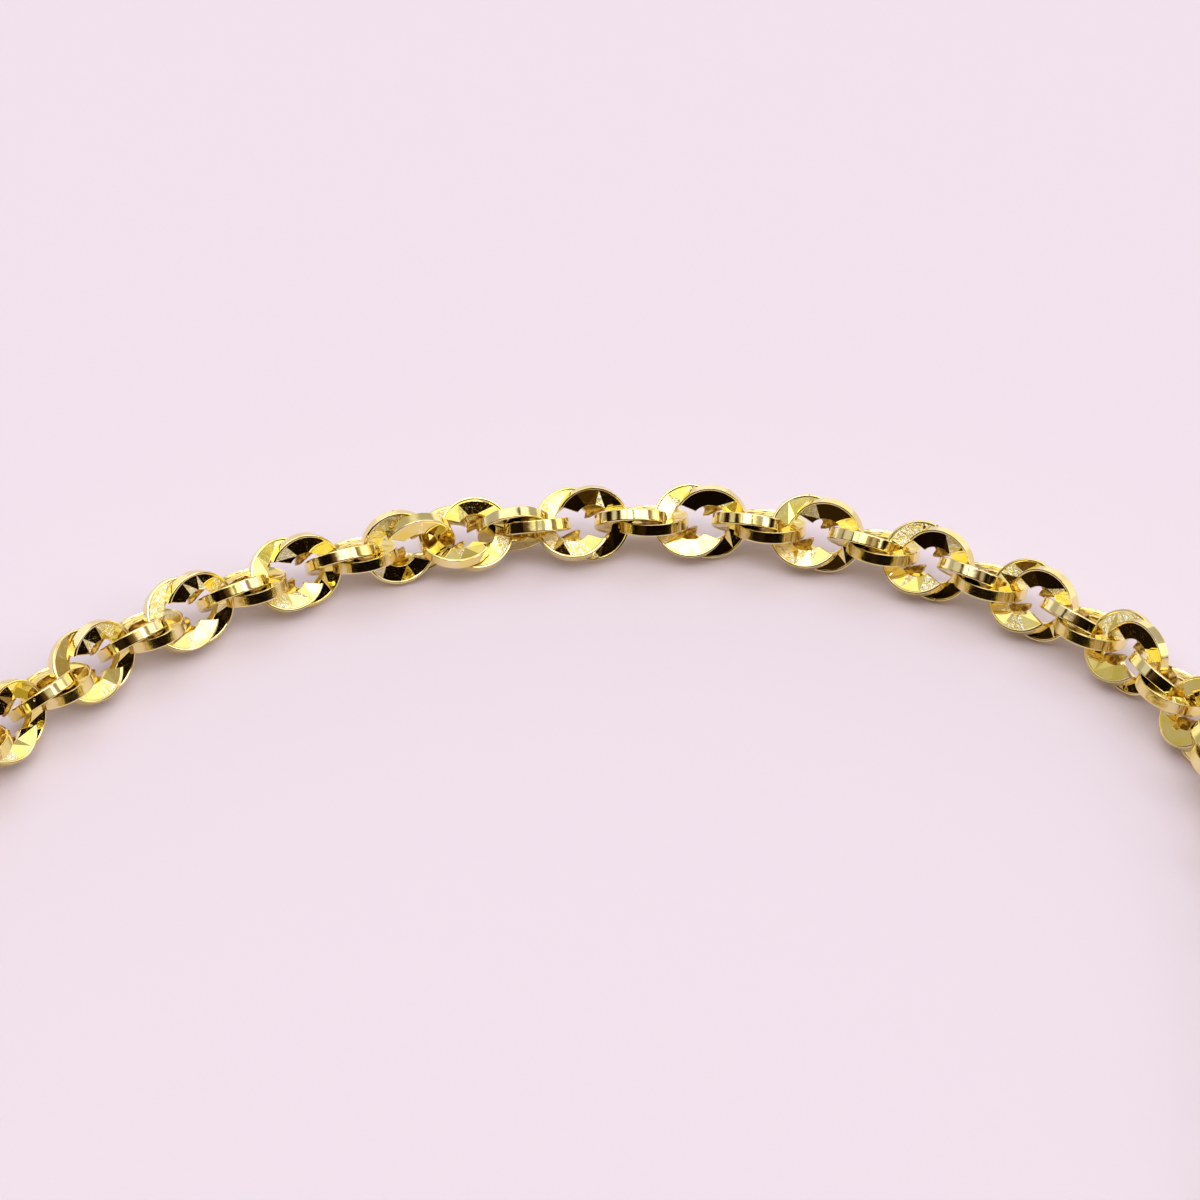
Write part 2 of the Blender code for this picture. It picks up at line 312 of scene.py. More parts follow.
@dataclass(frozen=True)
class Route:
    """The loop's line seen from above and the links' places on it, as the solids have them.

    Lengths are in millimetres. Links are numbered along the far side, where the photo's first
    whole link is 0.

    Attributes:
        points: the far side's points, read off the photo.
        near_depths: least and greatest depth of the near side, tried to close the loop.
        section: length that the clasp and its rings take up.
        slack: gap between the halves where they meet at the left.
        first: number of the far half's first link.
        twist_raise: rise of the chain's twisted stretch, whose middle and half length follow.
        level_link: number of a link that lies flat before the lean.
        shift: from the route's origin to the frame's.
        twist: extra roll in degrees of the links in the twisted stretch, by number.
    """

    points: tuple = (
        (-25.91, -12.27), (-23.47, -8.23), (-20.50, -4.56), (-17.07, -1.33), (-13.11, 1.23), (-8.77, 3.07),
        (-4.21, 4.26), (0.47, 4.87), (5.19, 4.87), (9.78, 3.83), (14.08, 1.90), (18.04, -0.67),
        (21.34, -4.03), (23.48, -8.22), (24.63, -12.92),
    )
    near_centre: tuple = (-1.3, -25.0)
    near_half_width: float = 26.9
    near_steps: int = 10
    near_depths: tuple = (15.0, 45.0)
    tries: int = 30
    samples: int = 60
    pitch: float = 2.36
    links: int = 35
    section: float = 12.51
    slack: float = 0.17
    first: int = -2
    axis_height: float = 1.512
    twist_raise: float = 0.04
    twist_middle: float = 9.5
    twist_reach: float = 3.5
    level_link: int = 6
    lean: float = math.radians(34.0)
    shift: tuple = (1.2461, 24.0359)
    twist: tuple = ((7, 0.0), (8, -28.0), (9, -57.0), (10, -70.0), (11, -80.0), (12, -87.0), (13, -90.0))

    def curve(self, depth: float) -> np.ndarray:
        """Return many points of the closed smooth curve for one depth of the near side."""
        near = [
            (
                self.near_centre[0] + self.near_half_width * math.cos(math.pi * i / self.near_steps),
                self.near_centre[1] - depth * math.sin(math.pi * i / self.near_steps),
            )
            for i in range(self.near_steps + 1)
        ]
        pts = np.array(list(self.points) + near)
        span = np.linalg.norm(np.roll(pts, -1, axis=0) - pts, axis=1)
        before = np.roll(span, 1)
        left = (pts - np.roll(pts, 1, axis=0)) / before[:, None]
        right = (np.roll(pts, -1, axis=0) - pts) / span[:, None]
        slope = (left * span[:, None] + right * before[:, None]) / (before + span)[:, None]
        rows = []
        for i in range(len(pts)):
            j = (i + 1) % len(pts)
            t = np.linspace(0, 1, self.samples, endpoint=False)[:, None]
            rows.append(
                (2 * t**3 - 3 * t**2 + 1) * pts[i]
                + (t**3 - 2 * t**2 + t) * span[i] * slope[i]
                + (3 * t**2 - 2 * t**3) * pts[j]
                + (t**3 - t**2) * span[i] * slope[j]
            )
        return np.vstack(rows)

    @staticmethod
    def walk(curve: np.ndarray, start: float, step: float, count: int) -> tuple[list, float]:
        """Step along the closed curve by straight steps.

        Args:
            curve: the curve's points.
            start: where to begin, in points from the first one.
            step: a step's straight length.
            count: how many steps.

        Returns:
            The points stepped on, and the last one's place.
        """
        stride, halvings = 0.25, 24

        def at(place: float) -> np.ndarray:
            """Return the point at a place on the curve."""
            low = int(math.floor(place))
            share = place - low
            return curve[low % len(curve)] * (1 - share) + curve[(low + 1) % len(curve)] * share

        here = start
        points = [at(here)]
        for _ in range(count):
            ahead = here
            while np.linalg.norm(at(ahead) - points[-1]) < step:
                ahead += stride
            low, high = ahead - stride, ahead
            for _ in range(halvings):
                middle = (low + high) / 2
                if np.linalg.norm(at(middle) - points[-1]) < step:
                    low = middle
                else:
                    high = middle
            here = high
            points.append(at(here))
        return points, here

    def joints(self) -> tuple[list, list]:
        """Return the points where links meet, of the far and the near half, in millimetres."""
        low, high = self.near_depths
        for _ in range(self.tries):
            depth = (low + high) / 2
            curve = self.curve(depth)
            far, here = self.walk(curve, 0.0, self.pitch, self.links)
            _, place = self.walk(curve, here, self.section, 1)
            near, end = self.walk(curve, place, self.pitch, self.links)
            over = np.linalg.norm(near[-1] - far[0]) * math.copysign(1, end - len(curve))
            if over > self.slack:
                low = depth
            else:
                high = depth
        return far, near

    def height(self, index: float) -> float:
        """Return the chain's height over the floor."""
        near = max(0.0, 1 - abs(index - self.twist_middle) / self.twist_reach)
        return self.axis_height + self.twist_raise * math.sin(near * math.pi / 2) ** 2

    def roll(self, index: int) -> float:
        """Return a link's turn about the chain."""
        extra = self.twist[0][1] if index < self.twist[0][0] else self.twist[-1][1]
        extra = dict(self.twist).get(index, extra)
        return math.radians(90.0 * (index - self.level_link) + extra)

    def places(self, joints: list, first: int, turn: float) -> list[Matrix]:
        """Return each link's matrix, in metres.

        Args:
            joints: points where links meet, seen from above.
            first: index of the first link.
            turn: extra roll of all these links.
        """
        made = []
        for i, (start, stop) in enumerate(zip(joints, joints[1:])):
            a, b = (
                Vector((point[0] + self.shift[0], point[1] + self.shift[1], self.height(first + i + half)))
                for point, half in ((start, -0.5), (stop, 0.5))
            )
            roll = self.roll(first + i) + turn
            along = (b - a).normalized()
            side = UP.cross(along).normalized()
            up = along.cross(side)
            normal = -side * math.cos(roll) * math.cos(self.lean) + up * math.sin(self.lean) * math.cos(roll)
            other = side * math.sin(roll) * math.sin(self.lean) + up * math.cos(self.lean) * math.sin(roll)
            z = (normal + other).normalized()
            place = Matrix((along, z.cross(along), z)).transposed().to_4x4()
            place.translation = (a + b) / 2 * MM
            made.append(place)
        return made


@dataclass
class OpenRing:
    """One flat open ring: a polished rim, a thin lip, and a dished face cut in flat facets.

    Sizes are in millimetres. The ring lies in the XY plane with its mouth towards +X. Of its two cut
    ends one lies behind the link's other ring.

    Attributes:
        hand: 1 for a link's left ring, -1 for the right one, which the link turns half round.
        turned: whether the last cut end is the one that lies behind, and not the first.
        half: half the ring's thickness.
        edge: radius of the rim's rounded edge.
        lap: how much the facets end short of the hole.
        crown: height of the lip's crest.
        sunk: least depth of the facets' outer corners under the half thickness; shy is that of
            all their points.
        dish: the faces' slope towards the hole, of the left and the right ring; sweep is its
            change round the ring and wobble its random change.
        wander: how far the facets' borders move at random, as a share of a facet.
        straight: how straight a facet's edge is at the hole, from arc to chord.
        draft: how much one edge of the rim is set back.
        fine: steps in a facet's edge; step is the angle kept free beside its border.
        mouth_inner: half the mouth's angle at the hole; mouth_outer is the same at the rim.
        drawn_inner: angle that the hidden cut end is drawn out at the hole; drawn_outer is the
            same at the rim, drawn_inward how far it moves inwards, and ragged its roughness.
        clean: share of all this on the front cut end.
        wall: how much the hole's wall stands out inwards; bevel is the width and depth of its
            bevel, and wall_wave the unevenness of both.
        worn: the left ring's facets that are frosted more often, worn_more times the share.
    """

    seed: int
    hand: int
    turned: bool
    outer: float = 1.5
    inner: float = 0.76
    half: float = 0.25
    lip: float = 0.085
    edge: float = 0.04
    lap: float = 0.02
    crown: float = 0.014
    sunk: float = 0.045
    shy: float = 0.008
    dish: tuple = (math.radians(3.0), math.radians(0.0))
    sweep: tuple = (math.radians(1.0), math.radians(9.5))
    wobble: tuple = (math.radians(5.0), math.radians(1.6))
    wander: float = 0.16
    straight: float = 0.18
    draft: float = 0.0
    facets: int = 9
    fine: int = 4
    step: float = 0.004
    mouth_inner: float = math.radians(41.8)
    mouth_outer: float = math.radians(30.7)
    ragged: float = 0.016
    drawn_inner: float = math.radians(16.0)
    drawn_outer: float = math.radians(9.0)
    drawn_inward: float = 0.24
    clean: float = 0.10
    wall: float = 0.006
    bevel: tuple = (0.012, 0.022)
    wall_wave: tuple = (0.004, 0.006)
    frosted_share: float = 0.26
    worn: tuple = (5, 6, 7)
    worn_more: float = 2.8
    worn_less: float = 0.5
    rng: random.Random = field(init=False)

    def __post_init__(self) -> None:
        """Start the ring's random draws."""
        self.rng = random.Random(self.seed)

    @property
    def lean(self) -> float:
        """Return how fast half the mouth's angle grows inwards."""
        return (self.mouth_inner - self.mouth_outer) / (self.outer - self.inner)

    def corners(self, side: int) -> list[tuple[Vector, Vector]]:
        """Return where the facets of one face meet: the outer and inner end of each border."""
        which = 0 if self.hand > 0 else 1
        reaches = (self.outer - self.edge - self.lip, self.inner + self.lap)
        made = []
        for k in range(self.facets + 1):
            turns = []
            for radius in reaches:
                start = self.mouth_outer + (self.outer - radius) * self.lean
                wander = 0.0 if k in (0, self.facets) else self.rng.uniform(-1.0, 1.0) * self.wander
                turns.append(start + (k + wander) * (FULL_TURN - 2 * start) / self.facets)
            raised = self.hand * side * math.sin(turns[0])
            slope = self.dish[which] - self.sweep[which] * raised
            slope += self.rng.uniform(-1.0, 1.0) * self.wobble[which]
            drop = (reaches[0] - reaches[1]) * math.tan(slope)
            high = min(self.half - self.sunk, self.half - self.crown + drop)
            ends = zip(reaches, turns, (high, high - drop))
            made.append(tuple(Vector((r * math.cos(t), r * math.sin(t), z)) for r, t, z in ends))
        return made

    def face_rows(self, side: int) -> tuple[np.ndarray, np.ndarray, list[bool]]:
        """Return the points of one face, from the lip to the hole; a facet is two flat triangles.

        Args:
            side: 1 for the upper face, -1 for the lower.

        Returns:
            The points by row, column and axis, their angles by row and column, and for each facet
            whether its diagonal runs from the first inner corner to the last outer one.
        """
        corners = self.corners(side)
        rising = [self.rng.random() < 0.5 for _ in range(self.facets)]
        rows, turns = ([], []), ([], [])
        for rise, (out0, in0), (out1, in1) in zip(rising, corners, corners[1:]):
            triangles = (out0, out1, in0 if rise else in1), (in0, in1, out1 if rise else out0)
            for row, (first, last, third) in enumerate(triangles):
                normal = (last - first).cross(third - first)
                a = math.atan2(first.y, first.x) % FULL_TURN
                b = math.atan2(last.y, last.x) % FULL_TURN
                radius = first.xy.length
                for i in range(self.fine + 1):
                    angle = a + self.step + (b - a - 2 * self.step) * i / self.fine
                    chord = math.cos((b - a) / 2) / math.cos(angle - (a + b) / 2)
                    reach = radius * (1 + (chord - 1) * self.straight * row)
                    x, y = reach * math.cos(angle), reach * math.sin(angle)
                    z = first.z - (normal.x * (x - first.x) + normal.y * (y - first.y)) / normal.z
                    rows[row].append((x, y, side * min(z, self.half - self.shy)))
                    turns[row].append(angle)
        return np.array(rows), np.array(turns), rising

    def section(self) -> list[tuple[float, float]]:
        """Return the rim's outline, radius and height, from the upper lip to the lower lip."""
        start, crest, base = self.outer - self.edge, self.half, self.half - self.crown
        crest_from, crest_to, flat, leaning = 0.8, 0.6, 0.02, 0.05
        sides = []
        for back in (max(0.0, self.draft), max(0.0, -self.draft)):
            e = self.edge - back
            rows = [(start - self.lip * crest_from, base), (start - self.lip * crest_to, crest)]
            rows.append((start, base))
            rows += [(start + e * math.sin(t), base - e + e * math.cos(t)) for t in (0.5, 1.05)]
            sides.append(rows + [(start + e, base - e), (start + e, base - flat - e)])
        upper, lower = sides
        upper[-1] = (upper[-1][0] + self.draft * leaning, upper[-1][1])
        lower[-1] = (lower[-1][0] - self.draft * leaning, lower[-1][1])
        return upper + [(radius, -height) for radius, height in reversed(lower)]

    def arc(
        self, radius: float, heights: float | np.ndarray, angles: np.ndarray, jitter: float = 0.0
    ) -> list[tuple]:
        """Return one row of points at a radius.

        Args:
            radius: the row's radius.
            heights: one height, or one for each point.
            angles: the angles of the nearest row of a face.
            jitter: most that a point moves in or out.
        """
        start = self.mouth_outer + max(0.0, self.outer - radius) * self.lean
        first, last = angles[0], angles[-1]
        turns = start + (angles - first) / (last - first) * (FULL_TURN - 2 * start)
        waves = np.array([self.rng.uniform(-jitter, jitter) for _ in angles])
        across = radius + waves
        heights = np.broadcast_to(heights, len(angles))
        return list(zip(across * np.cos(turns), across * np.sin(turns), heights))

    def cap(self, bm: bmesh.types.BMesh, edge: list, place: Matrix, last: bool) -> None:
        """Close a cut end: drawn out and rough behind the other ring, nearly flat before it.

        Args:
            bm: the mesh.
            edge: the points round the cut end, in millimetres and in the ring's own place.
            place: the ring's place in its link.
            last: whether this is the last column's end.
        """
        zone = bm.faces.layers.int["zone"]
        share_of = 1.0 if last == self.turned else self.clean
        middle = sum(edge, Vector()) / len(edge)
        closing_and_drawing = ((0.0, 0.45), (0.03, 0.8), (0.10, 0.95), (0.45, 1.0))
        tip_drawing = 1.05

        def drawn(point: Vector, closing: float, drawing: float, ragged: float) -> bmesh.types.BMVert:
            """Return a point drawn round the ring into the mouth, and towards the end's middle."""
            inside = max(0.0, min(1.0, (self.outer - point.xy.length) / (self.outer - self.inner)))
            turn = (self.drawn_outer + (self.drawn_inner - self.drawn_outer) * inside) * share_of * drawing
            moved = Matrix.Rotation(turn if last else -turn, 3, "Z") @ point.lerp(middle, closing)
            inward = 1 - self.drawn_inward * inside * share_of * drawing / moved.xy.length
            moved = Vector((moved.x * inward, moved.y * inward, moved.z))
            moved += Vector([self.rng.uniform(-1.0, 1.0) * ragged * share_of for _ in range(3)])
            return bm.verts.new(place @ (moved * MM))

        rows = [[bm.verts.new(place @ (point * MM)) for point in edge]]
        for closing, drawing in closing_and_drawing:
            rows.append([drawn(point, closing, drawing, self.ragged) for point in edge])
        centre = drawn(middle, 0.0, tip_drawing, 0.0)
        around = [(i, (i + 1) % len(edge)) for i in range(len(edge))]
        faces = [(a[i], a[j], b[j], b[i]) for a, b in zip(rows, rows[1:]) for i, j in around]
        faces += [(rows[-1][i], rows[-1][j], centre) for i, j in around]
        for verts in faces:
            bm.faces.new(verts)[zone] = Zone.BURR.value

    def build(self, bm: bmesh.types.BMesh, place: Matrix) -> None:
        """Add the ring to a bmesh.

        Args:
            bm: the mesh to add to, with the layers zone and frost.
            place: the ring's place in its link.
        """
        zone = bm.faces.layers.int["zone"]
        top, top_turns, top_rising = self.face_rows(1)
        low, low_turns, low_rising = self.face_rows(-1)
        count = top.shape[1]
        rows = [list(top[1]), list(top[0])]
        outline = self.section()
        for i, (radius, height) in enumerate(outline):
            share = i / (len(outline) - 1)
            rows.append(self.arc(radius, height, top_turns[0] * (1 - share) + low_turns[0] * share))
        low_cut = len(rows)
        rows += [list(low[0]), list(low[1])]
        (wide, deep), (edge_wave, wall_wave) = self.bevel, self.wall_wave
        wall, low_edge, top_edge = self.inner - self.wall, low[1][:, 2], top[1][:, 2]
        near, far, wall_height = 0.8, 0.2, 0.6
        rows.append(self.arc(wall + wide, low_edge + deep, low_turns[1], edge_wave))
        for share, other, edge in ((near, far, low_edge), (far, near, top_edge)):
            turns = low_turns[1] * share + top_turns[1] * other
            rows.append(self.arc(wall, edge * wall_height, turns, wall_wave))
        rows.append(self.arc(wall + wide, top_edge - deep, top_turns[1], edge_wave))
        loop = [[bm.verts.new(place @ (Vector(point) * MM)) for point in row] for row in rows]
        for r in range(len(loop)):
            after = loop[(r + 1) % len(loop)]
            cut = r in (0, low_cut)
            for c in range(count - 1):
                if cut and (c + 1) % (self.fine + 1):
                    continue
                face = bm.faces.new((loop[r][c], after[c], after[c + 1], loop[r][c + 1]))
                face.smooth = not cut
                face[zone] = (Zone.FACET if cut else Zone.RIM).value
        self.cut_facets(bm, loop[1], loop[0], top_rising)
        self.cut_facets(bm, loop[low_cut], loop[low_cut + 1], low_rising)
        for column in (0, count - 1):
            self.cap(bm, [Vector(row[column]) for row in rows], place, column > 0)

    def cut_facets(self, bm: bmesh.types.BMesh, outer: list, inner: list, rising: list[bool]) -> None:
        """Fill one face with its facets, two flat fans for each; the hidden end's are rough inside.

        Args:
            bm: the mesh.
            outer: the points along the lip.
            inner: the points along the hole.
            rising: for each facet the way of its diagonal.
        """
        zone = bm.faces.layers.int["zone"]
        frost = bm.faces.layers.float["frost"]
        worn = self.worn if self.hand > 0 else ()
        hidden = self.facets - 1 if self.turned else 0
        for k, rise in enumerate(rising):
            often = self.frosted_share * (self.worn_more if k in worn else self.worn_less)
            first = k * (self.fine + 1)
            last = first + self.fine
            fans = (
                (outer, inner[first] if rise else inner[last], Zone.FACET),
                (inner, outer[last] if rise else outer[first], Zone.FACET),
            )
            for row, tip, kind in fans:
                rough = self.rng.random() < often
                if row is inner and k == hidden:
                    kind = Zone.BURR
                for c in range(first, last):
                    face = bm.faces.new((row[c], row[c + 1], tip))
                    face[zone] = kind.value
                    face[frost] = 1.0 if rough else 0.0


@dataclass
class Link:
    """A link: two open rings that cross at the top and the bottom. Lengths are in millimetres.

    Its place in the cycle of four tells how it lies, and so where its hidden cut ends and the
    drafted edge of its right ring are.
    """

    seed: int
    spread: float = 0.80
    tilt: float = math.radians(13.5)
    draft: float = 0.028

    def build(self) -> bpy.types.Mesh:
        """Return the link's mesh, X along the chain and Z its normal, in metres."""
        bm = bmesh.new()
        bm.faces.layers.int.new("zone")
        bm.faces.layers.float.new("frost")
        phase = self.seed % LINK_CYCLE
        half = self.spread / 2 * MM
        left = Matrix.Translation((-half, 0, 0)) @ Matrix.Rotation(-self.tilt, 4, "X")
        right = Matrix.Translation((half, 0, 0)) @ Matrix.Rotation(self.tilt, 4, "X")
        draft = self.draft if phase in (0, 3) else -self.draft
        turned = phase in (0, 1)
        OpenRing(self.seed * 2, 1, turned).build(bm, left)
        ring = OpenRing(self.seed * 2 + 1, -1, turned, draft=draft)
        ring.build(bm, right @ Matrix.Rotation(math.pi, 4, "Z"))
        bmesh.ops.remove_doubles(bm, verts=bm.verts, dist=1e-9)
        bmesh.ops.recalc_face_normals(bm, faces=bm.faces)
        mesh = bpy.data.meshes.new(f"link_{self.seed:02d}")
        bm.to_mesh(mesh)
        bm.free()
        return mesh


@dataclass
class ChainTree:
    """The Geometry Nodes tree that sets a link on every point of a route."""

    finishes: dict[Zone, bpy.types.Material]

    def build(self) -> bpy.types.GeometryNodeTree:
        """Return the tree: points in, realized links with their materials out."""
        tree = bpy.data.node_groups.new("links on a route", "GeometryNodeTree")
        for name, kind in (("Geometry", "Geometry"), ("Links", "Collection"), ("Link Scale", "Float")):
            tree.interface.new_socket(name, in_out="INPUT", socket_type=f"NodeSocket{kind}")
        tree.interface.new_socket("Geometry", in_out="OUTPUT", socket_type="NodeSocketGeometry")
        graph = Graph(tree)
        start = graph.node("NodeGroupInput")
        stop = graph.node("NodeGroupOutput")
        kinds = graph.node(
            "GeometryNodeCollectionInfo",
            {"transform_space": "ORIGINAL"},
            {"Collection": start.outputs["Links"], "Separate Children": True, "Reset Children": True},
        )
        turn = graph.node("GeometryNodeInputNamedAttribute", {"data_type": "QUATERNION"}, {"Name": "turn"})
        kind = graph.node("GeometryNodeInputNamedAttribute", {"data_type": "INT"}, {"Name": "kind"})
        laid = graph.node(
            "GeometryNodeInstanceOnPoints",
            None,
            {
                "Points": start.outputs["Geometry"],
                "Instance": kinds.outputs[0],
                "Pick Instance": True,
                "Instance Index": kind.outputs["Attribute"],
                "Rotation": turn.outputs["Attribute"],
                "Scale": start.outputs["Link Scale"],
            },
        )
        geometry = graph.node("GeometryNodeRealizeInstances", None, {0: laid.outputs[0]}).outputs[0]
        zone = graph.node("GeometryNodeInputNamedAttribute", {"data_type": "INT"}, {"Name": "zone"})
        for key, material in self.finishes.items():
            chosen = graph.node(
                "FunctionNodeCompare",
                {"data_type": "INT", "operation": "EQUAL"},
                {2: zone.outputs["Attribute"], 3: key.value},
            )
            geometry = graph.node(
                "GeometryNodeSetMaterial",
                None,
                {"Geometry": geometry, "Selection": chosen.outputs[0], "Material": material},
            ).outputs[0]
        graph.plug(stop.inputs[0], geometry)
        return tree


@dataclass
class Chain:
    """One half of the chain, with the number of its first link and each link's matrix."""

    name: str
    node: str
    places: list[Matrix]
    first: int
    tree: bpy.types.GeometryNodeTree
    kinds: bpy.types.Collection

    def build(self) -> bpy.types.Object:
        """Return the half as one plain mesh and tie it to the solid that it replaces."""
        mesh = bpy.data.meshes.new(f"{self.name} route")
        mesh.from_pydata([tuple(p.translation) for p in self.places], [], [])
        mesh.attributes.new("turn", "QUATERNION", "POINT")
        mesh.attributes.new("kind", "INT", "POINT")
        turns = np.array([tuple(p.to_quaternion()) for p in self.places], dtype=np.float32)
        mesh.attributes["turn"].data.foreach_set("value", turns.ravel())
        kinds = [(self.first + i) % len(self.kinds.objects) for i in range(len(self.places))]
        mesh.attributes["kind"].data.foreach_set("value", kinds)
        route = bpy.data.objects.new(f"{self.name} route", mesh)
        modifier = route.modifiers.new("links", "NODES")
        modifier.node_group = self.tree
        sockets = {
            item.name: item.identifier
            for item in self.tree.interface.items_tree
            if item.item_type == "SOCKET" and item.in_out == "INPUT"
        }
        modifier[sockets["Links"]] = self.kinds
        modifier[sockets["Link Scale"]] = 1.0
        made = baked(route)
        made.name = self.name
        piece = bpy.data.objects.new(self.name, made)
        bpy.context.scene.collection.objects.link(piece)
        LOG.info("%s: %d faces", self.name, len(made.polygons))
        finish_piece(piece, self.node)
        return piece


def baked(source: bpy.types.Object) -> bpy.types.Mesh:
    """Return the plain mesh that a source object ends as, and delete the source."""
    bpy.context.scene.collection.objects.link(source)
    bpy.context.view_layer.update()
    graph = bpy.context.evaluated_depsgraph_get()
    mesh = bpy.data.meshes.new_from_object(source.evaluated_get(graph))
    bpy.data.objects.remove(source)
    return mesh


def finish_piece(piece: bpy.types.Object, node: str) -> None:
    """Tie a finished piece to the frame, in place of a solid."""
    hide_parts(node)
    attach(piece, "root")


@dataclass
class JumpRing:
    """A closed ring of round wire: its middle is in metres, its sizes are in millimetres."""

    node: str
    centre: Vector
    along: Vector
    material: bpy.types.Material
    radius: float = 1.50
    wire: float = 0.50
    lean: float = math.radians(50.0)

    def build(self) -> bpy.types.Object:
        """Return the ring, tied to the solid that it replaces."""
        side = UP.cross(self.along).normalized()
        up = self.along.cross(side)
        tilt = side * math.cos(self.lean) + up * math.sin(self.lean)
        place = Matrix((self.along, tilt, self.along.cross(tilt))).transposed().to_4x4()
        place.translation = self.centre
        bpy.ops.mesh.primitive_torus_add(
            major_segments=72, minor_segments=24,
            major_radius=self.radius * MM, minor_radius=self.wire / 2 * MM,
        )
        piece = bpy.context.object
        piece.name = f"{self.node}_wire"
        piece.data.transform(place)
        piece.data.shade_smooth()
        piece.data.materials.append(self.material)
        finish_piece(piece, self.node)
        LOG.info("%s", piece.name)
        return piece


@dataclass
class Clasp:
    """The plain clasp: a smooth cast body with an eye at one end and a window for the other ring.

    Sizes are in millimetres. The tables outline and window hold the place as a share of the length,
    and the half widths on both sides as shares of the half width.

    Attributes:
        start: the end with the eye; along is the direction from there to the other end.
        eye_relief: length of the thin end with the eye; hook_relief is that of the other end, and
            slope the length over which they thicken.
    """

    start: Vector
    along: Vector
    material: bpy.types.Material
    length: float = 10.2
    width: float = 4.6
    thick: float = 2.4
    end_thick: float = 0.80
    eye_place: float = 1.50
    eye_hole: float = 0.90
    eye_relief: float = 3.0
    hook_relief: float = 2.6
    slope: float = 0.55
    edge: float = 0.35
    outline: tuple = (
        (0.000, 0.00, 0.00), (0.025, 0.34, -0.34), (0.08, 0.58, -0.58), (0.15, 0.67, -0.67),
        (0.23, 0.60, -0.60), (0.30, 0.50, -0.52), (0.42, 0.70, -0.66), (0.55, 0.92, -0.84),
        (0.70, 1.00, -0.96), (0.84, 0.92, -0.90), (0.94, 0.62, -0.62), (0.985, 0.28, -0.28),
        (1.000, 0.00, 0.00),
    )
    window: tuple = (
        (0.425, 0.03, -0.03), (0.46, 0.22, -0.20), (0.56, 0.42, -0.38), (0.70, 0.56, -0.50),
        (0.81, 0.52, -0.48), (0.87, 0.38, -0.36), (0.907, 0.10, -0.10),
    )

    def ring_of(self, rows: tuple) -> list[tuple[float, float]]:
        """Return a table's closed outline as points."""
        upper = [(x * self.length, a * self.width / 2) for x, a, _ in rows]
        lower = [(x * self.length, b * self.width / 2) for x, _, b in reversed(rows) if b != 0.0]
        return upper + lower

    def spline(self, curve: bpy.types.Curve, points: list, inset: float) -> None:
        """Add a smooth closed outline, drawn in by the bevel's depth.

        Args:
            curve: the flat curve.
            points: the outline's points.
            inset: distance towards the outline's middle, or away from it if negative.
        """
        line = curve.splines.new("BEZIER")
        line.bezier_points.add(len(points) - 1)
        line.use_cyclic_u = True
        turns = [Vector(p) for p in points]
        for i, point in enumerate(line.bezier_points):
            way = (turns[(i + 1) % len(turns)] - turns[i - 1]).normalized()
            inward = Vector((way.y, -way.x)) * inset
            point.co = (turns[i].x + inward.x, turns[i].y + inward.y, 0)
            point.handle_left_type = "AUTO"
            point.handle_right_type = "AUTO"

    def taper(self, place: float) -> float:
        """Return the share of the full thickness at a place along the clasp."""
        least = self.end_thick / self.thick
        near = np.clip((place - self.eye_relief) / self.slope, 0, 1)
        far = np.clip((self.length - self.hook_relief - place) / self.slope, 0, 1)
        rise = min(near * near * (3 - 2 * near), far * far * (3 - 2 * far))
        return least + (1 - least) * rise

    def build(self) -> bpy.types.Object:
        """Return the clasp, tied to the solid that it replaces."""
        curve = bpy.data.curves.new("clasp outline", "CURVE")
        curve.dimensions = "2D"
        curve.fill_mode = "BOTH"
        curve.resolution_u = 7
        curve.bevel_depth = self.edge
        curve.bevel_resolution = 4
        curve.extrude = self.thick / 2 - self.edge
        self.spline(curve, self.ring_of(self.outline), self.edge)
        self.spline(curve, self.ring_of(self.window), -self.edge)
        corners = 8
        hole = [
            (self.eye_place + self.eye_hole * math.cos(turn), -self.eye_hole * math.sin(turn))
            for turn in (FULL_TURN * i / corners for i in range(corners))
        ]
        self.spline(curve, hole, -self.edge)
        mesh = baked(bpy.data.objects.new("clasp outline", curve))
        bm = bmesh.new()
        bm.from_mesh(mesh)
        bmesh.ops.remove_doubles(bm, verts=bm.verts, dist=1e-4)
        for vert in bm.verts:
            vert.co.z *= self.taper(vert.co.x)
        bmesh.ops.recalc_face_normals(bm, faces=bm.faces)
        bm.to_mesh(mesh)
        bm.free()
        side = UP.cross(self.along).normalized()
        place = Matrix((self.along, side, UP)).transposed().to_4x4()
        place.translation = self.start + UP * (self.thick / 2)
        mesh.transform(Matrix.Scale(MM, 4) @ place)
        mesh.shade_smooth()
        mesh.materials.clear()
        mesh.materials.append(self.material)
        piece = bpy.data.objects.new("clasp_body", mesh)
        bpy.context.scene.collection.objects.link(piece)
        finish_piece(piece, "clasp")
        LOG.info("clasp: %d faces", len(mesh.polygons))
        return piece


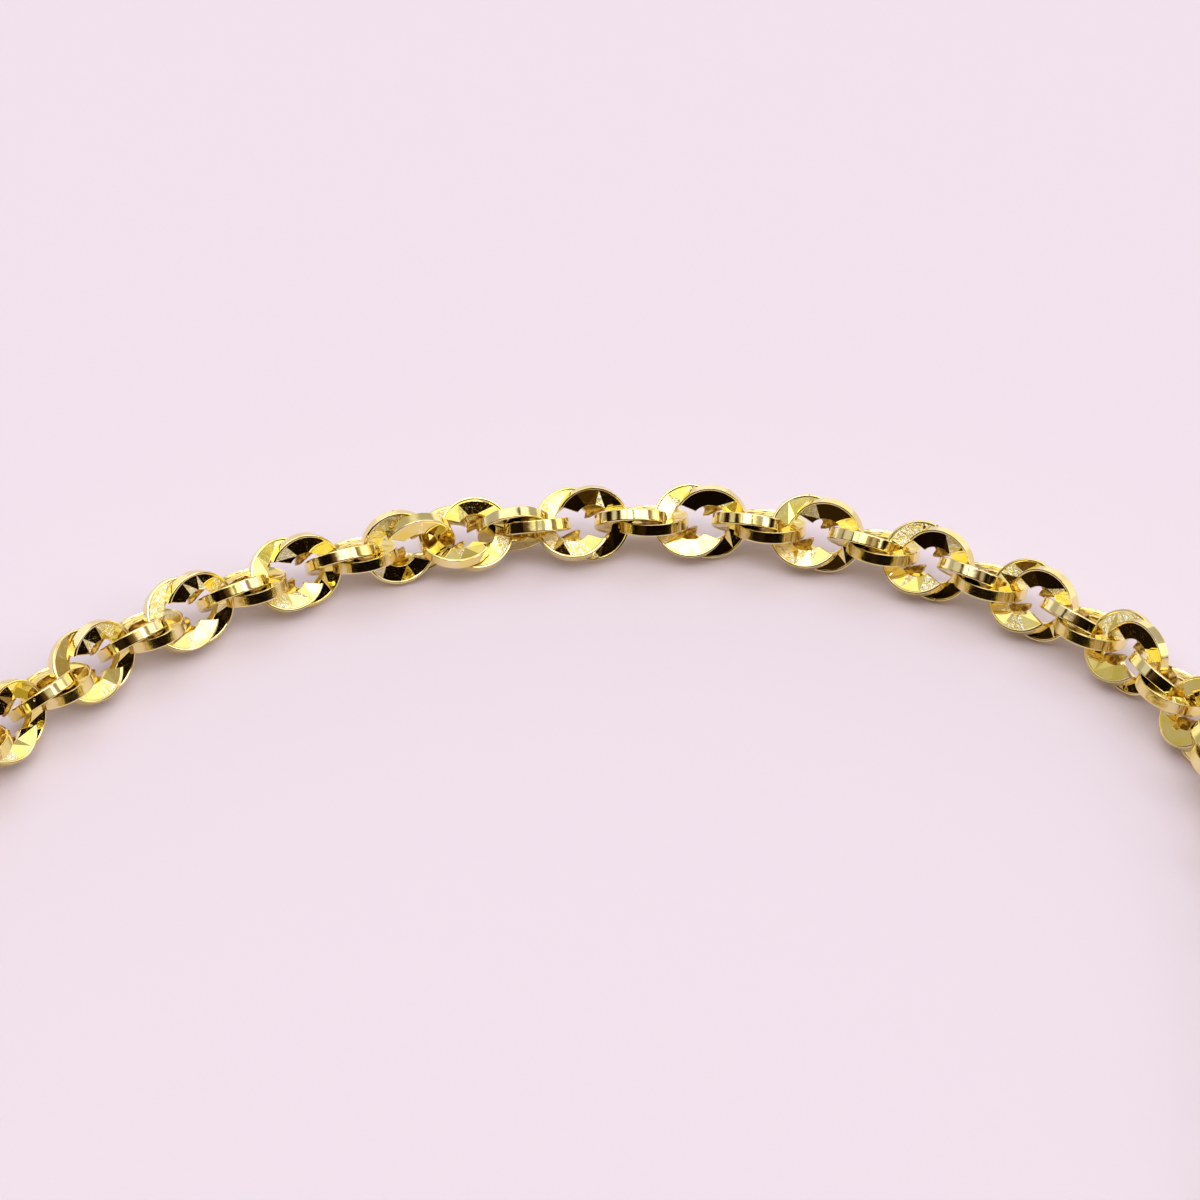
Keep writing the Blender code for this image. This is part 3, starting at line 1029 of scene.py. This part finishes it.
@dataclass(frozen=True)
class LightZone:
    """A part of the surroundings: degrees from the front towards +X and over the horizon, and level."""

    name: str
    left: float
    right: float
    low: float
    high: float
    level: float

    def over(self, graph: Graph, place: bpy.types.NodeSocket, under: Term) -> Value:
        """Return the brightness with the zone laid over what is there.

        Args:
            graph: the world's node tree.
            place: turn and climb as a vector, in widths of a soft edge.
            under: the brightness without the zone.
        """
        spans = ((self.left, self.right), (self.low, self.high))
        middle = (*((start + stop) / 2 / ZONE_EDGE for start, stop in spans), 0.0)
        reach = (*((stop - start + ZONE_EDGE) / 2 / ZONE_EDGE for start, stop in spans), 0.0)
        away = graph.vector("ABSOLUTE", graph.vector("SUBTRACT", place, middle))
        turn, climb, _ = graph.split(graph.vector("SUBTRACT", reach, away))
        mask = graph.math("MINIMUM", turn, climb)
        return Value(graph, graph.mix(mask, under, self.level, "FLOAT"))


@dataclass
class Stage:
    """Floor, lights and camera. Lengths are in metres.

    The zones are the lights, walls and flags round the object, each laid over those before it, and
    sky is the brightness of the rest. Over the tint range the dark tint turns into the light one.
    """

    target: Vector = field(default_factory=lambda: Vector((1.2461, 24.0359, 1.537)) * MM)
    elevation: float = math.radians(40.0)
    distance: float = 0.230
    pixels_per_metre: float = 25420.0
    near: float = 0.005
    far: float = 20.0
    sky: float = 0.50
    dark_tint: tuple = (1.0, 0.50, 0.18)
    light_tint: tuple = (1.0, 0.985, 1.0)
    tint_range: tuple = (0.1, 0.6)
    floor_size: float = 3.0
    floor_gap: float = 0.00002
    floor_colour: tuple = (0.855, 0.757, 0.834)
    floor_roughness: float = 0.45
    floor_shine: float = 0.25
    zones: tuple = (
        LightZone("top", -200, 200, 48, 91, 1.30),
        LightZone("high box", -50, 50, 53, 77, 3.7),
        LightZone("boom", 9, 19, 48, 88, 0.30),
        LightZone("stand", -36, -28, 48, 72, 0.60),
        LightZone("lamp arm", 82, 125, 70, 86, 0.02),
        LightZone("back wall", 110, 200, -10, 20, 1.1),
        LightZone("back wall left", -200, -110, -10, 20, 1.1),
        LightZone("right box", 54, 72, 22, 58, 3.2),
        LightZone("right gap", 72, 84, 22, 42, 0.30),
        LightZone("right wall", 88, 110, 0, 52, 1.5),
        LightZone("left card", -96, -66, 28, 48, 0.7),
        LightZone("dark left", -96, -60, -10, 28, 0.012),
        LightZone("dim wall", -66, 26, -10, 47, 0.10),
        LightZone("dark room", -66, 50, -10, 31, 0.005),
        LightZone("dark room above", -62, 22, 28, 39, 0.008),
        LightZone("dark right", 46, 86, -10, 19, 0.008),
        LightZone("dark wall", -40, -18, 8, 30, 0.03),
        LightZone("flag", -66, -56, -10, 51, 0.01),
    )

    def camera(self) -> None:
        """Place the camera at the photo's view."""
        back = Vector((0, -math.cos(self.elevation), math.sin(self.elevation)))
        data = bpy.data.cameras.new("camera")
        made = bpy.data.objects.new("camera", data)
        bpy.context.scene.collection.objects.link(made)
        made.location = self.target + back * self.distance
        made.rotation_euler = back.to_track_quat("Z", "Y").to_euler()
        data.sensor_width = SENSOR_WIDTH
        data.lens = self.pixels_per_metre * self.distance * SENSOR_WIDTH / PHOTO_WIDTH
        data.clip_start = self.near
        data.clip_end = self.far
        bpy.context.scene.camera = made

    def floor(self) -> None:
        """Make the plain pale floor."""
        bpy.ops.mesh.primitive_plane_add(size=self.floor_size, location=(0, 0, -self.floor_gap))
        made = bpy.context.object
        made.name = "floor"
        material = bpy.data.materials.new("pale floor")
        material.use_nodes = True
        shader = material.node_tree.nodes["Principled BSDF"]
        shader.inputs["Base Color"].default_value = (*self.floor_colour, 1)
        shader.inputs["Roughness"].default_value = self.floor_roughness
        shader.inputs["Specular IOR Level"].default_value = self.floor_shine
        made.data.materials.append(material)

    def world(self) -> None:
        """Make the studio's own light: soft boxes above and at the sides, a dark room in front."""
        world = bpy.data.worlds.new("studio")
        bpy.context.scene.world = world
        world.use_nodes = True
        graph = Graph(world.node_tree)
        way = graph.vector("NORMALIZE", graph.node("ShaderNodeTexCoord").outputs["Generated"])
        x, y, z = graph.split(way)
        edges = math.degrees(1.0) / ZONE_EDGE
        turn = graph.math("ARCTAN2", x, 0.0 - y) * edges
        climb = graph.math("ARCSINE", z) * edges
        place = graph.node("ShaderNodeCombineXYZ", None, {0: turn, 1: climb}).outputs[0]
        level = self.sky
        for zone in self.zones:
            level = zone.over(graph, place, level)
        shine = world.node_tree.nodes["Background"]
        tint = graph.mix(level.ramp(*self.tint_range), (*self.dark_tint, 1), (*self.light_tint, 1))
        graph.plug(shine.inputs["Color"], tint)
        graph.plug(shine.inputs["Strength"], level)

    def build(self) -> None:
        """Make the whole stage."""
        self.camera()
        self.floor()
        self.world()
        scene = bpy.context.scene
        scene.view_settings.view_transform = "Standard"
        scene.view_settings.look = "None"


@dataclass
class Bracelet:
    """The whole object.

    The last four sizes are in millimetres: three distances from the far half's end, and the height
    of the rings' middles.
    """

    route: Route = field(default_factory=Route)
    kinds: int = 16
    near_turn: float = math.radians(-90.0)
    clasp_start: float = 1.33
    clasp_ring_reach: float = 1.08
    end_ring_reach: float = 11.43
    ring_height: float = 1.42

    def finishes(self) -> dict[Zone, bpy.types.Material]:
        """Return the finishes of a link's zones."""
        return {
            Zone.RIM: Gold("polished rim", (0.95, 0.80, 0.42), (0.92, 0.76, 0.24), 0.07, pits=1.5).build(),
            Zone.FACET: Gold("cut facet", roughness=0.012, frosted=5.5, waves=0.08, scratches=0.06).build(),
            Zone.BURR: Gold("rough cut", (0.93, 0.68, 0.14), (0.72, 0.44, 0.06), 0.22, grain=2.2).build(),
        }

    def shelf(self) -> bpy.types.Collection:
        """Return a collection with one link of each kind."""
        made = bpy.data.collections.new("links")
        for seed in range(self.kinds):
            mesh = Link(seed).build()
            for _ in Zone:
                mesh.materials.append(None)
            made.objects.link(bpy.data.objects.new(mesh.name, mesh))
        return made

    def chain(self, far: list, near: list) -> None:
        """Build both halves of the chain through the points where their links meet."""
        tree = ChainTree(self.finishes()).build()
        shelf = self.shelf()
        halves = (
            ("far_links", "chain_far", far, self.route.first, 0.0),
            ("near_links", "chain_near", near, self.route.first + self.route.links, self.near_turn),
        )
        for name, node, joints, first, turn in halves:
            places = self.route.places(joints, first, turn)
            Chain(name, node, places, first, tree, shelf).build()
        for item in list(shelf.objects):
            bpy.data.objects.remove(item)
        bpy.data.collections.remove(shelf)

    def fastening(self, start: Vector, stop: Vector) -> None:
        """Build the clasp and its rings between the chain's ends, which are in millimetres."""
        along = (stop - start).normalized()
        wire = Gold("ring wire", roughness=0.08, pits=0.5).build()
        for node, reach in (("clasp_ring", self.clasp_ring_reach), ("end_ring", self.end_ring_reach)):
            centre = (start + along * reach + UP * self.ring_height) * MM
            JumpRing(node, centre, along, wire).build()
        cast = Gold("cast clasp", roughness=0.10, pits=0.4).build()
        Clasp(start + along * self.clasp_start, along, cast).build()

    def build(self) -> None:
        """Build every piece and tie it to the frame."""
        far, near = self.route.joints()
        self.chain(far, near)
        shift = Vector((*self.route.shift, 0))
        self.fastening(Vector((*far[-1], 0)) + shift, Vector((*near[0], 0)) + shift)


def main() -> None:
    """Build the object and the stage."""
    logging.basicConfig(level=logging.INFO, format="%(name)s: %(message)s")
    Bracelet().build()
    Stage().build()


if __name__ == "__main__":
    main()
